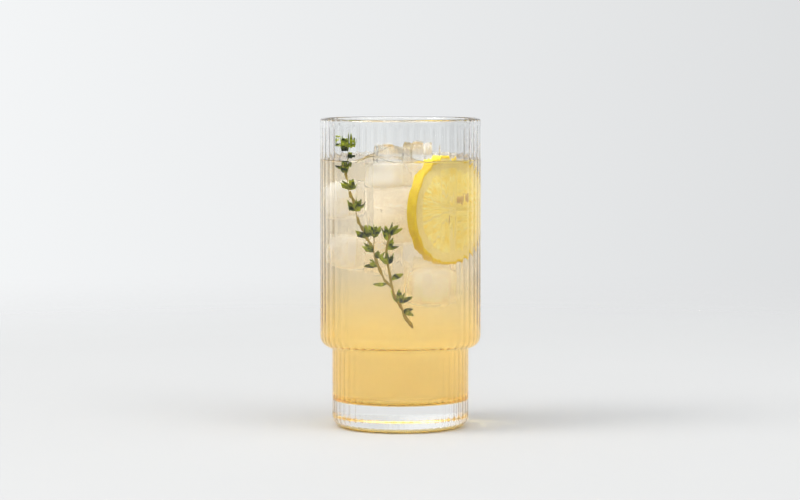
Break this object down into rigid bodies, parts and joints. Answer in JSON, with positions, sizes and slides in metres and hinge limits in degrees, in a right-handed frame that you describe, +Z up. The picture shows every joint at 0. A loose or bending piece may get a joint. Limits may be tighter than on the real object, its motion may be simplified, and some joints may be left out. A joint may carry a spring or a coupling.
{
  "type": "glass of lemonade",
  "caption": "Ribbed stepped tumbler of pale yellow lemonade with ice, a lemon slice against the wall and a sprig of thyme.",
  "frame": {"origin": "centre of the foot, on the plane it stands on", "axes": "+Z up; the side with the sprig and the lemon slice faces -Y, and the slice is towards +X"},
  "size_m": [0.08, 0.08, 0.1534],
  "materials": {
    "glass": "clear, smooth, ribbed",
    "lemonade": "slightly cloudy liquid",
    "lemon": "moist fruit",
    "thyme": "soft leaf",
    "ice": "clear to cloudy, wet"
  },
  "bodies": {
    "root": {"glass": "glass", "lemonade": "lemonade", "lemon_slice": "lemon", "thyme_sprig": "thyme", "ice_front": "ice", "ice_middle": "ice"}
  },
  "joints": []
}
